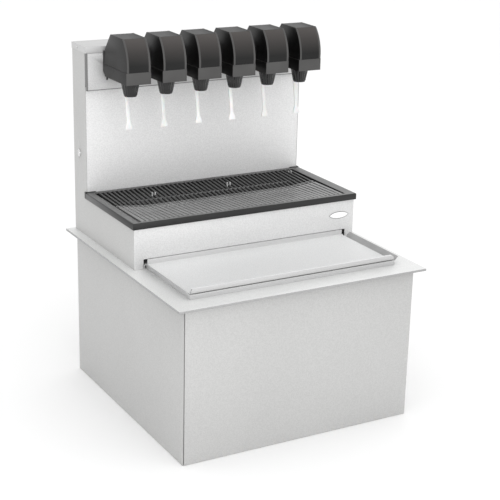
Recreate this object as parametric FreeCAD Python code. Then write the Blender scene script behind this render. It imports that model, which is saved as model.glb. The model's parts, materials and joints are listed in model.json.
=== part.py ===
import FreeCAD, Part
import math
import os

# Six-valve drop-in fountain soda dispenser, built as an assembly of separate pieces.
#
# Millimetres, +X to the right, +Y towards the back, +Z up. The origin is on the cabinet's
# underside, below the centre of the square flange. DECK is the height of the flange's top
# face and FRONT is the flange's front edge: heights above the deck and depths behind the
# front edge are the two offsets that place everything else.

Vector = FreeCAD.Vector

# Driving dimensions
FLANGE = 584.2
BODY = 546.0
DECK = 343.0
SHEET = 1.2
HEM = 5.0
GAP = 0.3
SEAM = 3.0
FRONT = -FLANGE / 2

# Ice bin, its collar and its lid
BIN_HALF = 236.0
BIN_FRONT = FRONT + 58.0
BIN_BACK = 118.0
BIN_FLOOR = 48.0
BIN_CORNER = 6.0
BIN_RIM = 12.0
MOUTH_BACK = FRONT + 247.0
COLLAR_HALF = 244.0
COLLAR_FRONT = FRONT + 50.0
LEDGE_TOP = DECK + 8.2
LID_HALF = 241.5
LID_BOTTOM = LEDGE_TOP + GAP
LID_BACK = FRONT + 254.2
LID_LIP_TOP = DECK + 20.5
PULL_TOP = DECK + 22.5
PULL_BOTTOM = DECK + 12.8
PULL_CORNER = 7.0

# Drip box, cup rest and tower
HALF_WIDTH = 271.0
BOX_FRONT = FRONT + 254.6
BOX_TOP = DECK + 88.2
SLOT_HALF = 249.8
SLOT_HEIGHT = 21.0
REST_TOP = DECK + 102.5
REST_HALF = 274.9
REST_FRONT = FRONT + 250.8
REST_SIDE_BAR = 20.0
REST_FRONT_BAR = 16.0
REST_BACK_BAR = 8.0
EAR_TOP = REST_TOP + 1.5
SLAT_COUNT = 45
SLAT_PITCH = 11.1
SLAT_DEPTH = 5.5
FRONT_SLAT_HALF = 4.1
BACK_SLAT_HALF = 2.4
VALLEY_Y = FRONT + 388.5
VALLEY_DIP = 9.0
SPLASH = FRONT + 507.0
HOOD = FRONT + 494.0
HOOD_BOTTOM = DECK + 332.5
CAP_BOTTOM = DECK + 413.0
CAP_TOP = DECK + 427.1
TOWER_BACK = FRONT + 577.0

# Valves
VALVE_COUNT = 6
VALVE_PITCH = 83.6
COVER_HALF = 27.0
BODY_HALF = 28.2
VALVE_BACK = FRONT + 478.0
VALVE_BOTTOM = DECK + 365.6
VALVE_SEAM = DECK + 391.2
MOUNT_BOTTOM = DECK + 364.6
MOUNT_TOP = DECK + 418.0
NOZZLE_Y = FRONT + 407.0
NOZZLE_BOTTOM = DECK + 334.0
NOZZLE_TIP = 13.6
NOZZLE_TOP = 20.2
NOZZLE_WALL = 2.2
COLLAR_RADIUS = 20.7
PIVOT_Y = FRONT + 432.0
PIVOT_Z = DECK + 372.0
PIN_RADIUS = 1.5
SOCKET_DEPTH = 11.0

# Plumbing
TUBE_RADIUS = 4.75
TUBE_BORE = 3.2
BEND = 20.0
INLET_Y = 190.0
INLET_PITCH = 30.0
STUB_BOTTOM = 4.0
HOSE_STOP = 20.0
STOP_HEIGHT = 2.5
RISER_Y = FRONT + 537.0
HEADER_Y = FRONT + 556.0
HEADER_Z = DECK + 365.0
BIN_DRAIN_Y = -212.0
BIN_DRAIN_RADIUS = 13.35
DRIP_DRAIN_X = -180.0
DRIP_DRAIN_Y = 180.0
DRIP_DRAIN_RADIUS = 11.0
LOCK_Y = FRONT + 546.0
LOCK_Z = DECK + 185.0


def valve_positions():
    """X of each valve's centre, from left to right."""
    first = -VALVE_PITCH * (VALVE_COUNT - 1) / 2
    return [first + VALVE_PITCH * number for number in range(VALVE_COUNT)]


def save(name, shape):
    """Write one node."""
    shape.exportStep(os.path.join("parts", name + ".step"))


# Shape helpers

def block(x0, x1, y0, y1, z0, z1):
    return Part.makeBox(x1 - x0, y1 - y0, z1 - z0, Vector(x0, y0, z0))


def rounded_block(x0, x1, y0, y1, z0, z1, radius):
    """A block whose four upright edges are rounded."""
    solid = block(x0, x1, y0, y1, z0, z1)
    upright = [edge for edge in solid.Edges if abs(edge.Length - (z1 - z0)) < 1e-6
               and abs(edge.tangentAt(edge.FirstParameter).z) > 0.99]
    return solid.makeFillet(radius, upright)


def rod(start, direction, radius, length):
    return Part.makeCylinder(radius, length, Vector(*start), Vector(*direction))


def cone(start, direction, radius_start, radius_end, length):
    return Part.makeCone(radius_start, radius_end, length, Vector(*start), Vector(*direction))


def prism_x(outline, x0, x1):
    """Extrude a closed outline of (y, z) points along X."""
    points = [Vector(x0, y, z) for y, z in outline]
    face = Part.Face(Part.makePolygon(points + points[:1]))
    return face.extrude(Vector(x1 - x0, 0, 0))


def prism_y(outline, y0, y1):
    """Extrude a closed outline of (x, z) points along Y."""
    points = [Vector(x, y0, z) for x, z in outline]
    face = Part.Face(Part.makePolygon(points + points[:1]))
    return face.extrude(Vector(0, y1 - y0, 0))


def join(shapes):
    """Fuse overlapping or touching shapes into one solid."""
    whole = shapes[0].fuse(list(shapes[1:]))
    return whole.removeSplitter()


def mirror_x(shape):
    return shape.mirror(Vector(0, 0, 0), Vector(1, 0, 0))


def group(shapes):
    """Keep separate solids together in one node."""
    return Part.Compound(list(shapes))


def bent_path(points, radius):
    """Straight runs through the points, joined by tangent arcs."""
    corners = [Vector(*point) for point in points]
    edges = []
    start = corners[0]
    for before, corner, after in zip(corners, corners[1:], corners[2:]):
        inward = (corner - before).normalize()
        outward = (after - corner).normalize()
        turn = inward.getAngle(outward)
        setback = radius * math.tan(turn / 2)
        arc_start = corner - inward * setback
        arc_end = corner + outward * setback
        bisector = (outward - inward).normalize()
        middle = corner + bisector * (radius / math.cos(turn / 2) - radius)
        edges.append(Part.LineSegment(start, arc_start).toShape())
        edges.append(Part.Arc(arc_start, middle, arc_end).toShape())
        start = arc_end
    edges.append(Part.LineSegment(start, corners[-1]).toShape())
    return Part.Wire(edges)


def tube(points, radius, bore, bend):
    """A bent tube with a bore through it."""
    path = bent_path(points, bend)
    direction = Vector(*points[1]) - Vector(*points[0])

    def sweep(section_radius):
        circle = Part.Circle(Vector(*points[0]), direction, section_radius)
        section = Part.Wire([circle.toShape()])
        return path.makePipeShell([section], True, False)

    return sweep(radius).cut(sweep(bore))


# Cabinet

def shell_front():
    """The front panel: it covers the right corner and leaves a seam at the left one."""
    front = -BODY / 2
    left = -BODY / 2 + SEAM
    right = BODY / 2
    top = DECK - SHEET
    flange_right = right - SHEET - GAP
    panel = block(left, right, front, front + SHEET, 0, top)
    flanges = [block(x, x + SHEET, front, front + 12.0, SHEET, top)
               for x in (left, flange_right - SHEET)]
    return join([panel] + flanges)


def shell_wrap():
    """Two sides and the back, folded from one sheet."""
    half = BODY / 2
    outer = block(-half, half, -half, half, 0, DECK - SHEET)
    inner = block(-half + SHEET, half - SHEET, -half - SHEET, half - SHEET, -SHEET, DECK)
    behind_panel = block(half - 2 * SHEET, half + SHEET, -half - SHEET, -half + SHEET + GAP,
                         -SHEET, DECK)
    return outer.cut([inner, behind_panel])


def bottom_pan():
    """The floor, with a utility opening at the back and a hole round the bin drain."""
    half = BODY / 2 - SHEET - GAP
    floor = block(-half, half, -half, half, 0, SHEET)
    side = block(half - SHEET, half, -half + 16.0, half, 0, 20.0)
    back = block(-half, half, half - SHEET, half, 0, 20.0)
    lip = block(-half + 8.0, half - 8.0, -half, -half + SHEET, 0, 20.0)
    pan = join([floor, side, mirror_x(side), back, lip])
    opening = rounded_block(-210.0, 110.0, 155.0, 250.0, -SHEET, 2 * SHEET, 10.0)
    drain = rod((0, BIN_DRAIN_Y, -SHEET), (0, 0, 1), 32.0, 3 * SHEET)
    return pan.cut([opening, drain])


def foam_insulation():
    """Foam between the cabinet and the bin liner."""
    half = BODY / 2 - 5.0
    foam = block(-half, half, -half, 150.0, 1.5, DECK - 8.0)
    tub = block(-BIN_HALF - SHEET - GAP, BIN_HALF + SHEET + GAP, BIN_FRONT - SHEET - GAP,
                BIN_BACK + SHEET + GAP, BIN_FLOOR - SHEET - GAP, DECK)
    cuts = [tub]
    cuts.append(rod((0, BIN_DRAIN_Y, 0), (0, 0, 1), BIN_DRAIN_RADIUS + GAP, BIN_FLOOR))
    cuts.append(rod((0, BIN_DRAIN_Y, 0), (0, 0, 1), 32.0, 28.0))
    for x, z in cold_plate_ports():
        cuts.append(rod((x, BIN_BACK, z), (0, 1, 0), TUBE_RADIUS + GAP, 40.0))
    return foam.cut(cuts)


def bin_liner():
    """A stainless tub welded from five sheets, with an outward rim under the deck."""
    side = BIN_HALF + SHEET
    front = BIN_FRONT - SHEET
    back = BIN_BACK + SHEET
    top = DECK - SHEET
    rim_bottom = top - SHEET
    drain = rod((0, BIN_DRAIN_Y, 0), (0, 0, 1), BIN_DRAIN_RADIUS, 2 * BIN_FLOOR)
    ports = [rod((x, BIN_BACK - 5.0, z), (0, 1, 0), TUBE_RADIUS, 20.0)
             for x, z in cold_plate_ports()]
    floor = block(-side, side, front, back, BIN_FLOOR - SHEET, BIN_FLOOR).cut(drain)
    front_wall = block(-side, side, front, BIN_FRONT, BIN_FLOOR, top)
    back_wall = block(-side, side, BIN_BACK, back, BIN_FLOOR, top).cut(ports)
    side_wall = block(BIN_HALF, side, BIN_FRONT, BIN_BACK, BIN_FLOOR, top)
    front_rim = block(-side, side, BIN_FRONT - BIN_RIM, front, rim_bottom, top)
    back_rim = block(-side, side, back, BIN_BACK + BIN_RIM, rim_bottom, top)
    side_rim = block(side, BIN_HALF + BIN_RIM, BIN_FRONT - BIN_RIM, BIN_BACK + BIN_RIM,
                     rim_bottom, top)
    return group([floor, front_wall, back_wall, side_wall, mirror_x(side_wall), front_rim,
                  back_rim, side_rim, mirror_x(side_rim)])


def cold_plate():
    """A cast aluminium slab on the bin's floor, ribbed on top."""
    slab = block(-200.0, 200.0, -188.0, 95.0, BIN_FLOOR, 90.0)
    ribs = [block(x, x + 8.0, -180.0, 87.0, 90.0, 94.0) for x in range(-184, 180, 40)]
    return join([slab] + ribs)


def cold_plate_ports():
    """(x, z) of each tube where it enters or leaves the cold plate's back face."""
    inlets = [(x, 64.0) for x in inlet_positions()]
    outlets = [(x - 12.0, 80.0) for x in valve_positions()]
    return inlets + outlets + [(75.0, 80.0)]


def inlet_positions():
    """X of the six syrup inlets and of the soda inlet, from left to right."""
    return [-90.0 + INLET_PITCH * number for number in range(VALVE_COUNT + 1)]


# Deck

def deck_flange():
    """The square deck, hemmed downwards, with the bin's mouth and the tubes' holes."""
    half = FLANGE / 2
    slab = block(-half, half, -half, half, DECK - HEM, DECK)
    under = block(-half + SHEET, half - SHEET, -half + SHEET, half - SHEET, DECK - 2 * HEM,
                  DECK - SHEET)
    mouth = rounded_block(-BIN_HALF, BIN_HALF, BIN_FRONT, MOUTH_BACK, DECK - HEM, DECK + HEM,
                          BIN_CORNER)
    cuts = [under, mouth]
    for x in valve_positions():
        cuts.append(rod((x - 12.0, RISER_Y, DECK - HEM), (0, 0, 1), 8.0, 2 * HEM))
    cuts.append(rod((75.0, HEADER_Y, DECK - HEM), (0, 0, 1), 8.0, 2 * HEM))
    cuts.append(rod((DRIP_DRAIN_X, DRIP_DRAIN_Y, DECK - HEM), (0, 0, 1),
                    DRIP_DRAIN_RADIUS + 2.0, 2 * HEM))
    return slab.cut(cuts)


def counter_gasket():
    """The ring that seals the flange to the counter."""
    outer = FLANGE / 2 - SHEET - 1.5
    inner = BODY / 2 + 2.0
    ring = block(-outer, outer, -outer, outer, DECK - HEM, DECK - SHEET)
    return ring.cut(block(-inner, inner, -inner, inner, DECK - 2 * HEM, DECK))


def bin_collar():
    """A raised wall on three sides of the mouth, its side rims flared outwards."""
    inner = COLLAR_HALF - SHEET
    rim = [(inner, DECK), (COLLAR_HALF, DECK), (COLLAR_HALF, DECK + 8.2),
           (COLLAR_HALF + 9.5, DECK + 17.7), (COLLAR_HALF + 8.7, DECK + 18.5),
           (inner, DECK + 8.7)]
    flared = prism_y(rim, COLLAR_FRONT, BOX_FRONT - 16.6)
    low = block(inner, COLLAR_HALF, COLLAR_FRONT, BOX_FRONT - GAP, DECK, LEDGE_TOP)
    ledge = block(BIN_HALF, inner, COLLAR_FRONT, BOX_FRONT - GAP, LEDGE_TOP - SHEET, LEDGE_TOP)
    wall = block(-COLLAR_HALF, COLLAR_HALF, COLLAR_FRONT, COLLAR_FRONT + SHEET, DECK,
                 DECK + 10.4)
    shelf = block(-inner, inner, COLLAR_FRONT, BIN_FRONT, LEDGE_TOP - SHEET, LEDGE_TOP)
    side = [flared, low, ledge]
    return join(side + [mirror_x(piece) for piece in side] + [wall, shelf])


def lid_rails():
    """Two folded rails that carry the lid inside the drip box."""
    shelf = block(BIN_HALF, 247.2, BOX_FRONT + 2.0, FRONT + 470.0, LEDGE_TOP - SHEET, LEDGE_TOP)
    web = block(246.0, 247.2, BOX_FRONT + 2.0, FRONT + 470.0, DECK, LEDGE_TOP)
    rail = join([shelf, web])
    return group([rail, mirror_x(rail)])


def ice_bin_lid():
    """A flat lid with a folded pull at the front and an upturned lip at the back."""
    half = LID_HALF
    front = COLLAR_FRONT - 0.4
    back = COLLAR_FRONT + 4.5
    panel = block(-half, half, back, LID_BACK, LID_BOTTOM, LID_BOTTOM + SHEET)
    lip = block(-half, half, LID_BACK - SHEET, LID_BACK, LID_BOTTOM, LID_LIP_TOP)
    inner_skin = block(-half, half, back, back + SHEET, LID_BOTTOM, PULL_TOP)
    outer_skin = block(-half, half, front, front + SHEET, PULL_BOTTOM, PULL_TOP)
    bridge = block(-half, half, front, back + SHEET, PULL_TOP - SHEET, PULL_TOP)
    lid = join([panel, lip, inner_skin, outer_skin, bridge])
    notch = block(half - PULL_CORNER, half + SHEET, front - SHEET, back + 2.0,
                  PULL_TOP - PULL_CORNER, PULL_TOP + SHEET)
    notch = notch.cut(rod((half - PULL_CORNER, front - 2.0, PULL_TOP - PULL_CORNER),
                          (0, 1, 0), PULL_CORNER, 9.0))
    return lid.cut([notch, mirror_x(notch)])


# Drip box and tower

def box_front():
    """The drip box's front, with the slot that the lid slides into."""
    panel = block(-HALF_WIDTH, HALF_WIDTH, BOX_FRONT, BOX_FRONT + SHEET, DECK, BOX_TOP)
    top = block(-HALF_WIDTH + 2.0, HALF_WIDTH - 2.0, BOX_FRONT, BOX_FRONT + 13.0,
                BOX_TOP - SHEET, BOX_TOP)
    slot = block(-SLOT_HALF, SLOT_HALF, BOX_FRONT - 1.0, BOX_FRONT + 2.0, DECK - 1.0,
                 DECK + SLOT_HEIGHT)
    return join([panel, top]).cut(slot)


def tower_side_right():
    """One L-shaped sheet closes the drip box and the tower on the right."""
    outline = [(BOX_FRONT + SHEET, DECK), (TOWER_BACK, DECK), (TOWER_BACK, CAP_BOTTOM),
               (SPLASH, CAP_BOTTOM), (SPLASH, BOX_TOP), (BOX_FRONT + SHEET, BOX_TOP)]
    return prism_x(outline, HALF_WIDTH - SHEET, HALF_WIDTH)


def tower_side_left():
    """The left side, which carries the key lock and a drip hole below it."""
    sheet = mirror_x(tower_side_right())
    lock = rod((-HALF_WIDTH - 1.0, LOCK_Y, LOCK_Z), (1, 0, 0), 6.9, 4.0)
    drip = rod((-HALF_WIDTH - 1.0, LOCK_Y, LOCK_Z - 10.5), (1, 0, 0), 1.4, 4.0)
    return sheet.cut([lock, drip])


def splash_panel():
    """The stainless wall behind the cups."""
    half = HALF_WIDTH - SHEET - GAP
    return block(-half, half, SPLASH, SPLASH + SHEET, BOX_TOP + GAP, HOOD_BOTTOM + 8.0)


def valve_panel():
    """A shallow pan that stands proud of the splash panel and carries the valves."""
    outer = block(-HALF_WIDTH, HALF_WIDTH, HOOD, SPLASH - 1.0, HOOD_BOTTOM, CAP_BOTTOM)
    inner = block(-HALF_WIDTH + SHEET, HALF_WIDTH - SHEET, HOOD + SHEET, SPLASH,
                  HOOD_BOTTOM + SHEET, CAP_BOTTOM - SHEET)
    cuts = [inner]
    for x in valve_positions():
        for offset in (-12.0, 12.0):
            z = HEADER_Z if offset > 0 else DECK + 385.0
            cuts.append(rod((x + offset, HOOD - 1.0, z), (0, 1, 0), TUBE_RADIUS + 1.5, 5.0))
    notch = block(HALF_WIDTH - 2.0, HALF_WIDTH + 1.0, SPLASH - 6.0, SPLASH, HOOD_BOTTOM - 1.0,
                  HOOD_BOTTOM + 7.0)
    return outer.cut(cuts + [notch, mirror_x(notch)])


def tower_cap():
    """A folded lid that closes the top of the tower."""
    half = HALF_WIDTH + 1.0
    outer = block(-half, half, FRONT + 497.0, TOWER_BACK + 0.8, CAP_BOTTOM + GAP, CAP_TOP)
    inner = block(-half + SHEET, half - SHEET, FRONT + 497.0 + SHEET, TOWER_BACK + 0.8 - SHEET,
                  CAP_BOTTOM - SHEET, CAP_TOP - SHEET)
    holes = [rod(start, inward, 1.2, 7.0) for start, inward in cap_screw_seats()]
    return outer.cut([inner] + holes)


def rear_panel():
    """The removable service panel at the back of the tower."""
    half = HALF_WIDTH - SHEET - GAP
    panel = block(-half, half, TOWER_BACK - SHEET, TOWER_BACK, DECK, CAP_BOTTOM - GAP)
    gland = rod((-150.0, TOWER_BACK - 5.0, DECK + 45.0), (0, 1, 0), 8.0, 10.0)
    holes = [rod(start, inward, 1.5, 9.0) for start, inward in rear_screw_seats()]
    return panel.cut([gland] + holes)


def cord_gland():
    """A nylon gland in the service panel, with its bore open for the power cord."""
    centre = (-150.0, TOWER_BACK - 8.0, DECK + 45.0)
    barrel = rod(centre, (0, 1, 0), 7.9, 14.0)
    head = rod((centre[0], TOWER_BACK, centre[2]), (0, 1, 0), 11.0, 6.5)
    bore = rod(centre, (0, 1, 0), 4.2, 20.0)
    return join([barrel, head]).cut(bore)


def drip_pan():
    """A shallow tray under the cup rest, hung by its rim."""
    front = FRONT + 258.0
    back = SPLASH - 2.0
    outer = rounded_block(-264.0, 264.0, front, back, DECK + 40.0, DECK + 86.9, 12.0)
    inner = rounded_block(-262.5, 262.5, front + 1.5, back - 1.5, DECK + 41.5, DECK + 90.0,
                          10.5)
    rim = block(-268.5, 268.5, BOX_FRONT + SHEET + GAP, back + 1.0, DECK + 85.7, DECK + 86.9)
    drain = rod((DRIP_DRAIN_X, DRIP_DRAIN_Y, DECK + 35.0), (0, 0, 1), 9.0, 10.0)
    return join([outer, rim]).cut([inner, drain])


def drip_drain_tube():
    """A straight tube from the drip pan down to the utility opening."""
    start = (DRIP_DRAIN_X, DRIP_DRAIN_Y, STUB_BOTTOM)
    length = DECK + 40.0 - STUB_BOTTOM
    outer = rod(start, (0, 0, 1), DRIP_DRAIN_RADIUS, length)
    stop = hose_stop(DRIP_DRAIN_X, DRIP_DRAIN_Y, DRIP_DRAIN_RADIUS)
    return join([outer, stop]).cut(rod(start, (0, 0, 1), DRIP_DRAIN_RADIUS - 2.0, length))


def hose_stop(x, y, radius):
    """A low collar on a stub, which the hose is pushed up to."""
    return rod((x, y, HOSE_STOP), (0, 0, 1), radius + 1.6, STOP_HEIGHT)


def bin_drain_fitting():
    """The bin's drain, a flanged tube through the floor."""
    start = (0, BIN_DRAIN_Y, STUB_BOTTOM)
    pipe = rod(start, (0, 0, 1), BIN_DRAIN_RADIUS, BIN_FLOOR - STUB_BOTTOM + 1.0)
    flange = rod((0, BIN_DRAIN_Y, BIN_FLOOR), (0, 0, 1), 18.0, 2.0)
    bore = rod(start, (0, 0, 1), 10.0, BIN_FLOOR)
    return join([pipe, flange, hose_stop(0, BIN_DRAIN_Y, BIN_DRAIN_RADIUS)]).cut(bore)


def cup_rest():
    """A moulded grille: a frame whose slats dip to a row of holes along a valley."""
    half = REST_HALF
    inner = half - REST_SIDE_BAR
    back = SPLASH - 0.6
    bottom = BOX_TOP + GAP
    top = REST_TOP - 1.0
    frame = block(-half, half, REST_FRONT, back, bottom, REST_TOP)
    well = block(-inner, inner, REST_FRONT + REST_FRONT_BAR, back - REST_BACK_BAR, DECK,
                 REST_TOP + 1.0)
    skirt = block(-half + 3.6, half - 3.6, REST_FRONT + 3.5, back - 1.0, DECK, BOX_TOP + 6.0)
    ear = block(-half, -HALF_WIDTH - 0.4, back - 1.0, FRONT + 512.0, bottom, EAR_TOP)
    pad = block(-half, -half + 24.0, back - 4.0, back, REST_TOP - 2.0, EAR_TOP)
    pieces = [frame.cut([well, skirt]), ear, mirror_x(ear), pad, mirror_x(pad)]

    front_end = REST_FRONT + REST_FRONT_BAR - 1.0
    back_end = back - REST_BACK_BAR + 1.0
    for number in range(SLAT_COUNT):
        x = (number - (SLAT_COUNT - 1) / 2) * SLAT_PITCH
        valley_top = top - min(VALLEY_DIP, 0.11 * (inner - abs(x)) + 1.0)
        falling = [(front_end, top), (VALLEY_Y, valley_top)]
        rising = [(VALLEY_Y, valley_top), (back_end, top)]
        for line, slat_half in ((falling, FRONT_SLAT_HALF), (rising, BACK_SLAT_HALF)):
            under = [(y, z - SLAT_DEPTH) for y, z in reversed(line)]
            pieces.append(prism_x(line + under, x - slat_half, x + slat_half))

    reach = inner + 1.0
    valley_bottom = REST_TOP - 14.0
    pieces.append(block(-reach, reach, VALLEY_Y - 1.5, VALLEY_Y + 1.5, valley_bottom,
                        valley_bottom + 3.0))
    for y in (FRONT + 310.0, FRONT + 450.0):
        pieces.append(block(-reach, reach, y - 1.2, y + 1.2, REST_TOP - 8.0, REST_TOP - 6.0))
    end = block(inner - 2.8, inner + 2.0, REST_FRONT + 60.0, back - 60.0, valley_bottom,
                REST_TOP - 6.0)
    return join(pieces + [end, mirror_x(end)])


def badge():
    """A blank oval plate on the drip box."""
    half_width = 25.5
    half_height = 8.2
    plate = rod((0, 0, 0), (0, 0, 1), half_height, 1.0)
    stretch = FreeCAD.Matrix()
    stretch.scale(half_width / half_height, 1.0, 1.0)
    oval = plate.transformGeometry(stretch)
    oval.rotate(Vector(0, 0, 0), Vector(1, 0, 0), 90.0)
    oval.translate(Vector(232.0, BOX_FRONT, DECK + 56.0))
    return oval


def cap_screw_seats():
    """(start, direction) of the screw on each side of the cap, at the head's outer face."""
    return [((side * (HALF_WIDTH + 2.2), FRONT + 548.0, DECK + 420.0), (-side, 0, 0))
            for side in (-1.0, 1.0)]


def rear_screw_seats():
    """(start, direction) of the service panel's screws, at each head's outer face."""
    return [((x, TOWER_BACK + 1.4, z), (0, -1, 0)) for x in (-250.0, 0.0, 250.0)
            for z in (DECK + 30.0, DECK + 390.0)]


def panel_screws():
    """Pan-head screws in the tower cap and the service panel."""
    screws = []
    for start, inward in cap_screw_seats():
        screws.append(join([rod(start, inward, 2.6, 1.2), rod(start, inward, 1.2, 7.0)]))
    for start, inward in rear_screw_seats():
        screws.append(join([rod(start, inward, 3.4, 1.4), rod(start, inward, 1.5, 9.0)]))
    return screws


def lock_body():
    """The key lock's barrel and bezel."""
    start = (-HALF_WIDTH - 1.6, LOCK_Y, LOCK_Z)
    bezel = rod(start, (1, 0, 0), 8.2, 1.6)
    barrel = rod(start, (1, 0, 0), 6.8, 23.0)
    bore = rod(start, (1, 0, 0), 5.05, 20.0)
    return join([bezel, barrel]).cut(bore)


def lock_cylinder():
    """The plug that the key turns."""
    start = (-HALF_WIDTH - 2.2, LOCK_Y, LOCK_Z)
    plug = rod(start, (1, 0, 0), 5.0, 20.0)
    keyway = block(start[0] - 1.0, start[0] + 4.0, LOCK_Y - 0.8, LOCK_Y + 0.8, LOCK_Z - 3.2,
                   LOCK_Z + 3.2)
    return plug.cut(keyway)


def transformer():
    """The 24 V transformer, with its mounting feet, on the deck inside the tower."""
    core = block(124.0, 186.0, FRONT + 515.0, FRONT + 562.0, DECK + 8.0, DECK + 62.0)
    coil = block(132.0, 178.0, FRONT + 511.0, FRONT + 566.0, DECK + 16.0, DECK + 54.0)
    foot = block(116.0, 194.0, FRONT + 545.0, FRONT + 558.0, DECK, DECK + 8.0)
    return join([core, coil, foot])


# Plumbing

def product_tubes():
    """Inlets up to the cold plate, and syrup lines from it to the valves."""
    tubes = []
    for x in inlet_positions():
        points = [(x, INLET_Y, STUB_BOTTOM), (x, INLET_Y, 64.0), (x, 95.0, 64.0)]
        bore = rod((x, INLET_Y, 0), (0, 0, 1), TUBE_BORE, 2 * HOSE_STOP)
        stop = hose_stop(x, INLET_Y, TUBE_RADIUS).cut(bore)
        tubes.append(join([tube(points, TUBE_RADIUS, TUBE_BORE, BEND), stop]))
    for x in valve_positions():
        line = x - 12.0
        top = DECK + 385.0
        points = [(line, 95.0, 80.0), (line, RISER_Y, 80.0), (line, RISER_Y, top),
                  (line, HOOD, top)]
        tubes.append(tube(points, TUBE_RADIUS, TUBE_BORE, BEND))
    return group(tubes)


def soda_manifold():
    """A header across the tower, fed by one riser, with a spur to each valve."""
    riser = [(75.0, 95.0, 80.0), (75.0, HEADER_Y, 80.0), (75.0, HEADER_Y, HEADER_Z)]
    pieces = [tube(riser, TUBE_RADIUS, TUBE_BORE, BEND)]
    positions = valve_positions()
    start = (positions[0], HEADER_Y, HEADER_Z)
    length = positions[-1] - positions[0] + 24.0
    pieces.append(rod(start, (1, 0, 0), 8.0, length))
    for x in positions:
        spur = (x + 12.0, HOOD, HEADER_Z)
        pieces.append(rod(spur, (0, 1, 0), TUBE_RADIUS, HEADER_Y - HOOD))
    return join(pieces)


# Valves

def valve_mount(x):
    """The block that holds a valve to the valve panel, with its release pin below."""
    outline = [(HOOD, MOUNT_BOTTOM + 10.0), (HOOD, MOUNT_TOP), (VALVE_BACK, MOUNT_TOP),
               (VALVE_BACK, MOUNT_BOTTOM), (VALVE_BACK + 5.0, MOUNT_BOTTOM)]
    pin = rod((x - 21.0, VALVE_BACK + 4.0, MOUNT_BOTTOM - 8.0), (0, 0, 1), 1.8, 12.0)
    return join([prism_x(outline, x - 25.0, x + 25.0), pin])


def valve_body(x):
    """The moulded base: a tray with a nozzle socket, a lever slot and a pin hole."""
    solid = block(x - BODY_HALF, x + BODY_HALF, FRONT + 364.0, VALVE_BACK, VALVE_BOTTOM,
                  VALVE_SEAM)
    socket = rod((x, NOZZLE_Y, VALVE_BOTTOM - 1.0), (0, 0, 1), COLLAR_RADIUS + 0.6,
                 SOCKET_DEPTH + 1.0)
    slot = block(x - 5.5, x + 5.5, NOZZLE_Y + 10.0, PIVOT_Y + 8.0, VALVE_BOTTOM - 1.0,
                 PIVOT_Z + 5.0)
    hole = rod((x - 12.0, PIVOT_Y, PIVOT_Z), (1, 0, 0), PIN_RADIUS, 24.0)
    return solid.cut([socket, slot, hole])


def valve_cover(x):
    """A lift-off shell with a curved front, a sloped back and two raised front ribs."""
    bottom = VALVE_SEAM + GAP
    wall = 2.2
    front = FRONT + 363.5
    back = VALVE_BACK - GAP

    def profile(inset):
        low = bottom - (1.0 if inset else 0.0)
        start = Vector(0, front + inset, low)
        middle = Vector(0, FRONT + 368.8 + inset, DECK + 431.0)
        brow = Vector(0, FRONT + 387.5 + inset * 0.6, DECK + 459.4 - inset)
        top_back = Vector(0, FRONT + 449.0 - inset * 0.5, DECK + 460.0 - inset)
        shoulder = Vector(0, back - inset, DECK + 425.0 - inset * 0.7)
        end = Vector(0, back - inset, low)
        edges = [Part.Arc(start, middle, brow).toShape()]
        for first, second in ((brow, top_back), (top_back, shoulder), (shoulder, end),
                              (end, start)):
            edges.append(Part.LineSegment(first, second).toShape())
        return Part.Face(Part.Wire(edges))

    half = COVER_HALF
    outer = profile(0.0)
    outer.translate(Vector(x - half, 0, 0))
    outer = outer.extrude(Vector(2 * half, 0, 0))
    inner = profile(wall)
    inner.translate(Vector(x - half + wall, 0, 0))
    inner = inner.extrude(Vector(2 * (half - wall), 0, 0))
    return outer.cut(inner)


def solenoids(x):
    """The syrup and soda solenoids of one valve."""
    coils = []
    for offset in (-12.3, 12.3):
        start = (x + offset, FRONT + 440.0, VALVE_SEAM)
        coils.append(join([rod(start, (0, 0, 1), 10.5, 36.0), rod(start, (0, 0, 1), 4.0, 44.0)]))
    return coils


def flow_controls(x):
    """The two flow adjusters of one valve."""
    controls = []
    for offset in (-12.3, 12.3):
        start = (x + offset, FRONT + 397.0, VALVE_SEAM)
        barrel = rod(start, (0, 0, 1), 8.0, 22.0)
        screw = rod(start, (0, 0, 1), 4.5, 30.0)
        slot = block(start[0] - 5.0, start[0] + 5.0, start[1] - 0.6, start[1] + 0.6,
                     VALVE_SEAM + 28.0, VALVE_SEAM + 31.0)
        controls.append(join([barrel, screw]).cut(slot))
    return controls


def microswitch(x):
    """The switch that the lever's heel works, beside the solenoids."""
    return block(x - 6.0, x + 6.0, FRONT + 458.0, FRONT + 472.0, VALVE_SEAM, VALVE_SEAM + 16.0)


def diffuser(x):
    """The stem inside the nozzle that mixes syrup and soda."""
    bottom = NOZZLE_BOTTOM + 12.0
    stem = rod((x, NOZZLE_Y, bottom), (0, 0, 1), 4.0, VALVE_BOTTOM + SOCKET_DEPTH - bottom)
    disc = rod((x, NOZZLE_Y, VALVE_BOTTOM - 6.0), (0, 0, 1), 10.0, 4.0)
    return join([stem, disc])


def nozzle(x):
    """A funnel that hangs from a collar in the valve's socket."""
    height = VALVE_BOTTOM - NOZZLE_BOTTOM
    funnel = cone((x, NOZZLE_Y, NOZZLE_BOTTOM), (0, 0, 1), NOZZLE_TIP, NOZZLE_TOP, height)
    collar = rod((x, NOZZLE_Y, VALVE_BOTTOM - 2.0), (0, 0, 1), COLLAR_RADIUS, SOCKET_DEPTH)
    bore = cone((x, NOZZLE_Y, NOZZLE_BOTTOM - 0.01), (0, 0, 1), NOZZLE_TIP - NOZZLE_WALL,
                NOZZLE_TOP - NOZZLE_WALL, height + 0.02)
    throat = rod((x, NOZZLE_Y, VALVE_BOTTOM - 0.01), (0, 0, 1), NOZZLE_TOP - NOZZLE_WALL, 12.0)
    return join([funnel, collar]).cut([bore, throat])


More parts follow.
